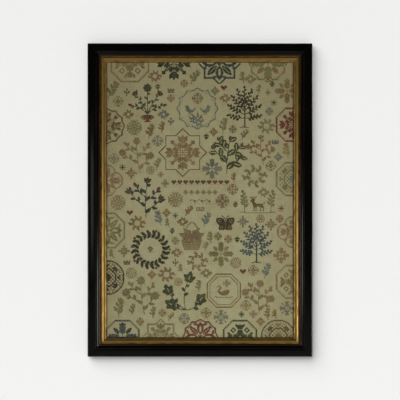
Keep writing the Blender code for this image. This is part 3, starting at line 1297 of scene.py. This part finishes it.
# %% Middle bands and scattered ornaments
BANDS = {
    "hearts": (".##.##..", "#######.", "#######.", ".#####..", "..###...", "...#...o"),
    "diamonds": ("...#....", "..#.#...", ".#.o.#..", "#.ooo.#.", ".#.o.#..", "..#.#...", "...#...."),
    "wave": ("..##......", ".#..#.oo..", "#....#oo.#", "......##..", "..........", "..#....#.."),
    "key": ("#####.", "#...#.", "#.###.", "#.....", "######"),
}


def band(cloth, name, x, y, repeats, thread, second):
    """A border pattern that repeats sideways, centred at x, y."""
    rows = BANDS[name]
    for down, row in enumerate(rows):
        whole = (row * repeats)[:len(row) * repeats - 1]
        for across, mark in enumerate(whole):
            if mark != ".":
                place = (round(y) + len(rows) // 2 - down, round(x) - len(whole) // 2 + across)
                cloth[place] = NUMBER[thread if mark == "#" else second]


for name, up, repeats in (("hearts", 213, 10), ("diamonds", 200, 6), ("wave", 187, 3), ("key", 177, 2)):
    band(chart, name, 130, up, repeats, "dusky_red", "madder")

SCATTERED = {
    "crown": [(90, 338, "dusky_red"), (30, 104, "teal"), (232, 268, "slate_blue")],
    "heart": [(162, 342, "madder"), (34, 172, "dusky_red"), (188, 92, "dusky_red")],
    "star": [(230, 322, "moss"), (96, 168, "slate_blue"), (240, 178, "madder"), (24, 234, "teal")],
    "sprig": [(90, 296, "teal"), (96, 104, "umber"), (30, 336, "moss")],
    "diamond": [(76, 224, "straw_gold"), (222, 336, "straw_gold"), (186, 34, "teal")],
    "strawberry": [(228, 348, "moss"), (178, 184, "dusky_red"), (92, 148, "moss")],
    "acorn": [(72, 344, "umber"), (138, 276, "walnut"), (180, 136, "black_green")],
}
for name, places in SCATTERED.items():
    for x, y, thread in places:
        picture(chart, ORNAMENTS[name], x, y, thread, thread)
print("stitches so far:", int((chart > 0).sum()))

# %% [markdown]
# ## Filling the gaps
#
# The pale silks also fill what is left between the motifs. A list of places in a shuffled order is
# tried for a large filling, then for a smaller one, and a place is taken only if nothing is stitched
# there yet. The shuffle has a fixed seed, so the cloth is the same every time.

# %% Fill the gaps with pale work
def small_spray(x, y, reach, thread, second):
    """A single leafy stem with a tulip, leaning by an angle that depends on its place."""
    heading = 60 + (7 * x + 3 * y) % 60
    turn = math.radians(heading)
    left, low = x - 0.8 * reach * math.cos(turn), y - 0.8 * reach * math.sin(turn)
    spray(chart, left, low, heading, reach * 1.3, 3, thread, 5, reach * 0.6, 0.5,
          "tulip", reach * 0.4, second)


def is_empty(x, y, reach):
    """True if nothing is stitched within reach of that place."""
    window, across, up = nearby(chart, x, y, reach)
    return not window[np.hypot(across, up) < reach].any()


PALE = ("faded_tan", "faded_olive", "faded_tan", "faded_rose", "straw_gold", "faded_olive", "pale_blue")
FILLINGS = ("stars", "spray", "feathers", "spray", "spades", "wreath", "tulips", "spray")
FILLING_SIZES = (19, 16, 13, 10, 8)
MARGIN = 10
luck = random.Random(12)
places = [(x, y) for x in range(MARGIN, COLUMNS - MARGIN, 2) for y in range(MARGIN, ROWS - MARGIN, 2)]
luck.shuffle(places)
filled = 0
for reach in FILLING_SIZES:
    for x, y in places:
        if is_empty(x, y, reach):
            kind, thread, second = luck.choice(FILLINGS), luck.choice(PALE), luck.choice(PALE[:4])
            if kind == "spray":
                small_spray(x, y, reach - 1, thread, second)
            elif kind == "wreath":
                wreath(chart, x, y, reach * 0.55, thread, second, 8, reach * 0.4)
            else:
                lay(chart, rosette(reach - 2, kind, thread, second), x, y)
            filled += 1
print("gaps filled:", filled, "and stitches in all:", int((chart > 0).sum()))

# %% [markdown]
# ## The silk
#
# A strand of silk is two loosely twisted plies, so light breaks up along it in fine slanted
# lines. Each strand carries a vector named "strand": how far along it the point is, which side
# of the strand it is on, and one random number for the whole cross. The twist is a sine of the
# first two, and the random number makes some crosses a touch darker, as uneven dye does.

# %% Silk finish
TWIST = 0.62 * MM


def silk(name, colour):
    """Twisted silk of one colour, uneven in its dye and a little faded in patches."""
    finish = Finish("silk_" + name, roughness=0.6, specular=0.14)
    strand = finish.attribute("strand")
    along, across, shade = (finish.part(strand, axis) for axis in range(3))
    turns = finish.math("MULTIPLY", along, 2 * math.pi / TWIST)
    slanted = finish.math("ADD", turns, finish.math("MULTIPLY", across, 1.8))
    ply = finish.span(finish.math("SINE", slanted), -1, 1)
    faded = finish.noise(finish.place(), scale=34, detail=3, rough=0.6)
    dark = [value * 0.72 for value in colour]
    pale = [value * 0.86 + bare * 0.2 for value, bare in zip(colour, LINEN_LIGHT)]
    uneven = finish.math("ADD", finish.math("MULTIPLY", shade, 0.5), finish.math("MULTIPLY", faded, 0.9))
    dyed = finish.mix(finish.span(uneven, 0.35, 1.05), from_screen(*dark), from_screen(*pale))
    furrow = finish.span(ply, 0.0, 0.45, 0.45, 0)
    shadow = from_screen(*[value * 0.5 for value in colour])
    finish.set("Base Color", finish.mix(furrow, dyed, shadow))
    finish.bump(ply, 0.06 * MM, strength=0.6)
    return finish.material


print("one twist of the silk is", round(TWIST / MM, 2), "mm long")

# %% [markdown]
# ## Working the stitches
#
# Every cross is two short strands: the first lies from corner to corner of its cell, and the
# second goes over it the other way. All of them are made at once with arrays. A strand has three
# stations, its two ends and its middle, and three points at each: left, crown and right. The
# edges dive into the cloth and the crown rises in the middle, higher in the upper strand. Silk
# leaves a hand a little differently each time, so each strand is nudged, turned and lifted by a
# small random amount. One mesh for each thread keeps every piece light.

# %% Cross stitches
STRAND_WIDTH = 0.68 * pitch
HALF_STRAND = pitch * 0.69
LOWER_CROWN = 0.24 * MM
UPPER_CROWN = 0.4 * MM
END_CROWN = 0.1 * MM
SUNK_EDGE = 0.05 * MM
END_SWELL = 0.55
STEPS = (-1, 0, 1)
hand = np.random.default_rng(1815)


def strand_points(x, z, slant, crown):
    """Points of one strand for each cell: an array of cells, stations, sides and x, y, z."""
    count = len(x)
    x = x + hand.normal(0, 0.03 * pitch, count)
    z = z + hand.normal(0, 0.03 * pitch, count)
    turn = slant + hand.normal(0, math.radians(4), count)
    half = HALF_STRAND * (1 + hand.normal(0, 0.04, count))
    width = STRAND_WIDTH * (1 + hand.normal(0, 0.1, count)) / 2
    lift = crown * (1 + hand.normal(0, 0.12, count))
    run, climb = np.cos(turn), np.sin(turn)
    points = np.empty((count, 3, 3, 3))
    for station, share in enumerate(STEPS):
        at_end = share != 0
        swell = END_SWELL if at_end else 1
        crest = END_CROWN if at_end else lift
        flank = -SUNK_EDGE if at_end else lift * 0.25 - SUNK_EDGE
        for side, sideways in enumerate(STEPS):
            place_x = x + run * half * share - climb * width * swell * sideways
            place_z = z + climb * half * share + run * width * swell * sideways
            rise = flank if sideways else crest
            points[:, station, side, 0] = place_x
            points[:, station, side, 1] = linen_face - cloth_height(place_x, place_z) - rise
            points[:, station, side, 2] = place_z
    return points


def strand_faces(count):
    """Four faces a strand, between its stations and its sides."""
    faces = []
    for station in (0, 1):
        for side in (0, 1):
            here = station * 3 + side
            faces.append((here, here + 3, here + 4, here + 1))
    starts = np.arange(count)[:, None, None] * 9
    return (np.array(faces)[None] + starts).reshape(-1, 4)


def stitches(name, number, colour):
    """All the crosses of one thread as one mesh."""
    rows, columns = np.nonzero(chart == number)
    x = chart_left + (columns + 0.5) * pitch
    z = chart_bottom + (rows + 0.5) * pitch
    lower = strand_points(x, z, math.radians(45), LOWER_CROWN)
    upper = strand_points(x, z, math.radians(-45), UPPER_CROWN)
    points = np.concatenate([lower, upper]).reshape(-1, 3)
    count = 2 * len(x)
    faces = strand_faces(count)

    mesh = bpy.data.meshes.new("stitches_" + name)
    mesh.vertices.add(len(points))
    mesh.vertices.foreach_set("co", points.ravel())
    mesh.loops.add(faces.size)
    mesh.loops.foreach_set("vertex_index", faces.ravel())
    mesh.polygons.add(len(faces))
    mesh.polygons.foreach_set("loop_start", np.arange(len(faces)) * 4)
    mesh.update(calc_edges=True)
    mesh.shade_smooth()

    steps = np.array(STEPS)
    twist_start = hand.uniform(0, TWIST, count)
    shade = np.tile(hand.uniform(0, 1, len(x)), 2)
    strand = np.zeros((count, 3, 3, 3))
    strand[..., 0] = steps[None, :, None] * HALF_STRAND + twist_start[:, None, None]
    strand[..., 1] = steps
    strand[..., 2] = shade[:, None, None]
    keep_on_points(mesh, "strand", strand.reshape(-1, 3), "FLOAT_VECTOR")
    flat_map(mesh)

    mesh.materials.append(silk(name, colour))
    made = bpy.data.objects.new("stitches_" + name, mesh)
    bpy.context.scene.collection.objects.link(made)
    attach(made, root_body)
    return made


def flat_map(mesh):
    """A UV map that shows the stitches straight from the front, as they lie on the cloth."""
    corners = np.empty(len(mesh.loops), dtype=np.int32)
    mesh.loops.foreach_get("vertex_index", corners)
    places = np.empty(len(mesh.vertices) * 3)
    mesh.vertices.foreach_get("co", places)
    flat = places.reshape(-1, 3)[corners][:, (0, 2)]
    low, high = flat.min(axis=0), flat.max(axis=0)
    layer = mesh.uv_layers.new(name="OFBake")
    layer.data.foreach_set("uv", ((flat - low) / (high - low).max() * 0.996 + 0.002).ravel())


for name, colour in THREADS.items():
    made = stitches(name, NUMBER[name], colour)
    print(made.name, "crosses:", len(made.data.polygons) // 8)

# %% [markdown]
# ## The cloth's cut size
#
# The linen and all the silk on it belong together as one stretched cloth. The size it is cut to is
# printed here.

print("cut size of the cloth, mm:", round((linen_high.x - linen_low.x) / MM, 1),
      round((linen_high.z - linen_low.z) / MM, 1))

# %% [markdown]
# ## Wall and floor
#
# The frame hangs on a pale wall. The wall is only a background: from behind, where it would
# hide the frame, its material lets everything through, and it casts no shadow on the frame's
# back. A pale floor lies below, where a shot from the side or from above may see it.

# %% Wall and floor
def plain(name, corners, see_through_from_behind):
    """A large pale surface of the studio."""
    made = mesh_object(name, corners, [(0, 1, 2, 3)], [])
    finish = Finish(name, roughness=0.95, specular=0.0)
    grain = finish.noise(finish.place(), scale=60, detail=4)
    finish.set("Base Color", finish.mix(grain, from_screen(230, 230, 229), from_screen(232, 232, 231)))
    if see_through_from_behind:
        behind = finish.nodes.new("ShaderNodeNewGeometry").outputs["Backfacing"]
        clear = finish.nodes.new("ShaderNodeBsdfTransparent")
        both = finish.nodes.new("ShaderNodeMixShader")
        finish.feed(both.inputs["Fac"], behind)
        finish.feed(both.inputs[1], finish.shader.outputs["BSDF"])
        finish.feed(both.inputs[2], clear.outputs["BSDF"])
        finish.feed(finish.nodes["Material Output"].inputs["Surface"], both.outputs["Shader"])
    made.data.materials.append(finish.material)
    made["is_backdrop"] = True
    return made


wall_y = outer_high.y + 0.8 * MM
floor_z = outer_low.z - 0.42
wall_corners = [(-4, wall_y, floor_z), (4, wall_y, floor_z), (4, wall_y, 4), (-4, wall_y, 4)]
floor_corners = [(-5, -6, floor_z), (5, -6, floor_z), (5, 5, floor_z), (-5, 5, floor_z)]
wall = plain("wall", wall_corners, see_through_from_behind=True)
wall.visible_shadow = False
wall.visible_diffuse = False
wall.visible_glossy = False
floor = plain("floor", floor_corners, see_through_from_behind=False)
print("wall behind the frame at y =", round(wall_y, 4), "and floor at z =", round(floor_z, 3))

# %% [markdown]
# ## Light
#
# The wall and the frame are lit apart, as a studio does it. Light linking lets each lamp shine on
# chosen objects only. A wide soft sun from the upper left belongs to the wall and the floor and
# gives the shadow that spreads right and down, with a fill from the front to soften it. The frame
# has two small panels from the sides, both low, so the cloth is darker towards its top. The linen's
# finish adds painted shade there too. Nothing bright and wide stands in front: black lacquer would
# show it as a grey veil. Only a narrow card, a little left of the camera, gives the left rail a
# faint gleam. A sun from behind lights the back. In a world shader the light that the camera sees
# and the light that falls on things can differ, and here the room looks pale but stays dark to the
# lacquer.

# %% Lamps
def only_on(lamp, objects):
    """Let a lamp shine on these objects only."""
    group = bpy.data.collections.new(lamp.name + " shines on")
    for each in objects:
        group.objects.link(each)
    lamp.light_linking.receiver_collection = group


def sun(name, strength, width, heading):
    """A sun that shines along heading, as wide in the sky as width degrees."""
    lamp = bpy.data.lights.new(name, "SUN")
    lamp.energy = strength
    lamp.angle = math.radians(width)
    made = bpy.data.objects.new(name, lamp)
    made.rotation_euler = Vector(heading).to_track_quat("-Z", "Y").to_euler()
    bpy.context.scene.collection.objects.link(made)
    return made


def panel(name, watts, wide, high, place, target, tint=(1, 1, 1)):
    """An oblong lamp at place that faces target."""
    lamp = bpy.data.lights.new(name, "AREA")
    lamp.shape = "RECTANGLE"
    lamp.energy = watts
    lamp.color = tint
    lamp.size = wide
    lamp.size_y = high
    made = bpy.data.objects.new(name, lamp)
    made.location = place
    made.rotation_euler = (Vector(target) - Vector(place)).to_track_quat("-Z", "Y").to_euler()
    bpy.context.scene.collection.objects.link(made)
    return made


def room(seen, falling):
    """The room: how bright it looks, and how much light it sheds."""
    world = bpy.data.worlds.new("room")
    world.use_nodes = True
    nodes, links = world.node_tree.nodes, world.node_tree.links
    shed, look = nodes["Background"], nodes.new("ShaderNodeBackground")
    for background, strength in ((shed, falling), (look, seen)):
        background.inputs["Strength"].default_value = strength
        background.inputs["Color"].default_value = (1, 1, 1, 1)
    mixed = nodes.new("ShaderNodeMixShader")
    links.new(nodes.new("ShaderNodeLightPath").outputs["Is Camera Ray"], mixed.inputs["Fac"])
    links.new(shed.outputs["Background"], mixed.inputs[1])
    links.new(look.outputs["Background"], mixed.inputs[2])
    links.new(mixed.outputs["Shader"], nodes["World Output"].inputs["Surface"])
    bpy.context.scene.world = world


middle = Vector((middle_x, outer_low.y, middle_z))
studio = (wall, floor)
of_the_frame = [each for each in bpy.context.scene.objects if each.type == "MESH" and each not in studio]
only_on(sun("wall sun", 2.7, 60, (0.62, 0.9, -0.72)), studio)
only_on(sun("wall fill", 0.92, 40, (0, 1, -0.35)), studio)
only_on(panel("right panel", 10.8, 0.3, 0.34, middle + Vector((1.0, -1.05, -0.36)), middle), of_the_frame)
only_on(panel("left panel", 7.6, 0.3, 0.34, middle + Vector((-1.1, -1.05, -0.2)), middle), of_the_frame)
gleam = panel("left card", 0.8, 0.16, 0.44, middle + Vector((-0.45, -2.38, 0)), middle, (0.86, 1, 0.95))
gleam.visible_diffuse = False
only_on(gleam, of_the_frame)
only_on(sun("from behind", 2.6, 40, (-0.35, -1, -0.45)), of_the_frame)
room(seen=0.8, falling=0.05)
bpy.context.scene.view_settings.view_transform = "Standard"
print("lamps:", [each.name for each in bpy.data.lights])

# %% [markdown]
# ## Camera
#
# The camera looks straight at the middle of the frame from well back, so that all four rails
# show the same width. The lens follows from the distance and from how much of the wall shows.

# %% Camera
CAMERA_DISTANCE = 2.4
WALL_IN_VIEW = 0.839
SENSOR = 36
lens = bpy.data.cameras.new("camera")
lens.sensor_width = SENSOR
lens.lens = SENSOR * CAMERA_DISTANCE / WALL_IN_VIEW
camera = bpy.data.objects.new("camera", lens)
camera.location = middle + Vector((0, -CAMERA_DISTANCE, 0))
camera.rotation_euler = (math.radians(90), 0, 0)
bpy.context.scene.collection.objects.link(camera)
bpy.context.scene.camera = camera
print("lens, mm:", round(lens.lens, 1))

# %% [markdown]
# ## The last measure
#
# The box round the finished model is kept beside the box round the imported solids, so that the
# two can be compared: the finish must not make the frame grow.

# %% Compare the boxes and finish
bpy.context.view_layer.update()
finished_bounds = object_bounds()
grown = [round((new - old) / MM, 2) for new, old in zip(finished_bounds[1], cad_bounds[1])]
print("the upper corner moved by, mm:", grown)
